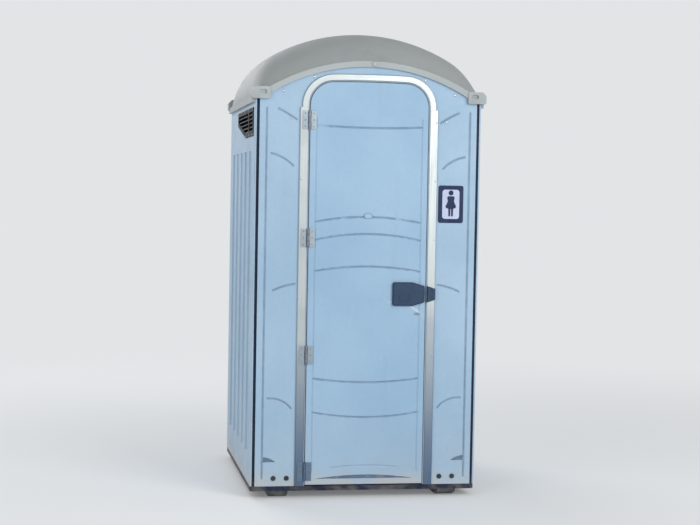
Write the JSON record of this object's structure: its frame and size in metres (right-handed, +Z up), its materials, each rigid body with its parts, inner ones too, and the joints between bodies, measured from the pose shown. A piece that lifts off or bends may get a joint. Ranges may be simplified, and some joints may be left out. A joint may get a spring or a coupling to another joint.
{
  "type": "portable toilet cabin",
  "caption": "Free-standing moulded plastic toilet cabin with a domed roof, corner lugs, louvred side vents and one outward-opening door in an arched aluminium surround.",
  "frame": {"origin": "on the ground, under the middle of the cabin's floor plan", "axes": "+Z up, the door faces -Y, +X is to the right of someone who faces the door"},
  "size_m": [1.16, 1.268, 2.3002],
  "materials": {
    "wall_plastic": "satin moulded polyethylene, weathered pale blue-white",
    "door_plastic": "satin moulded polyethylene, weathered pale blue-white",
    "roof_plastic": "satin moulded polyethylene, off-white",
    "navy_plastic": "dark navy moulded polyethylene",
    "vent_plastic": "dark slate moulded louvres",
    "skid_plastic": "dark moulded runners, scuffed",
    "floor_plastic": "grey moulded deck",
    "trim_aluminium": "satin extruded aluminium",
    "latch_plastic": "dark slate-blue moulded housing",
    "hinge_steel": "brushed zinc-plated steel",
    "bolt_steel": "dulled zinc-plated steel"
  },
  "bodies": {
    "cabin": {"back_wall": "wall_plastic", "base_pan": "navy_plastic", "corner_post_back_left": "navy_plastic", "corner_post_back_right": "navy_plastic", "corner_post_front_left": "navy_plastic", "corner_post_front_right": "navy_plastic", "floor_deck": "floor_plastic", "front_base_bolts": "bolt_steel", "front_header": "wall_plastic", "front_panel_left": "wall_plastic", "front_panel_right": "wall_plastic", "hinge_frame_leaf_1": "hinge_steel", "hinge_frame_leaf_2": "hinge_steel", "hinge_frame_leaf_3": "hinge_steel", "hinge_frame_leaf_4": "hinge_steel", "roof": "roof_plastic", "side_wall_left": "wall_plastic", "side_wall_right": "wall_plastic", "skid_left": "skid_plastic", "skid_right": "skid_plastic", "strike_plate": "latch_plastic", "threshold": "trim_aluminium", "trim_arch": "trim_aluminium", "trim_left": "trim_aluminium", "trim_right": "trim_aluminium", "vent_left": "vent_plastic", "vent_right": "vent_plastic"},
    "door": {"door_leaf": "door_plastic", "hinge_door_leaf_1": "hinge_steel", "hinge_door_leaf_2": "hinge_steel", "hinge_door_leaf_3": "hinge_steel", "hinge_door_leaf_4": "hinge_steel", "latch_inner_housing": "latch_plastic", "latch_knob": "latch_plastic", "latch_plate": "latch_plastic"}
  },
  "joints": [
    {"name": "door_hinge", "type": "hinge", "parent": "cabin", "child": "door", "pos_m": [-0.2965, -0.6265, 1], "axis": [0, 0, -1], "range_deg": [0, 110]}
  ]
}
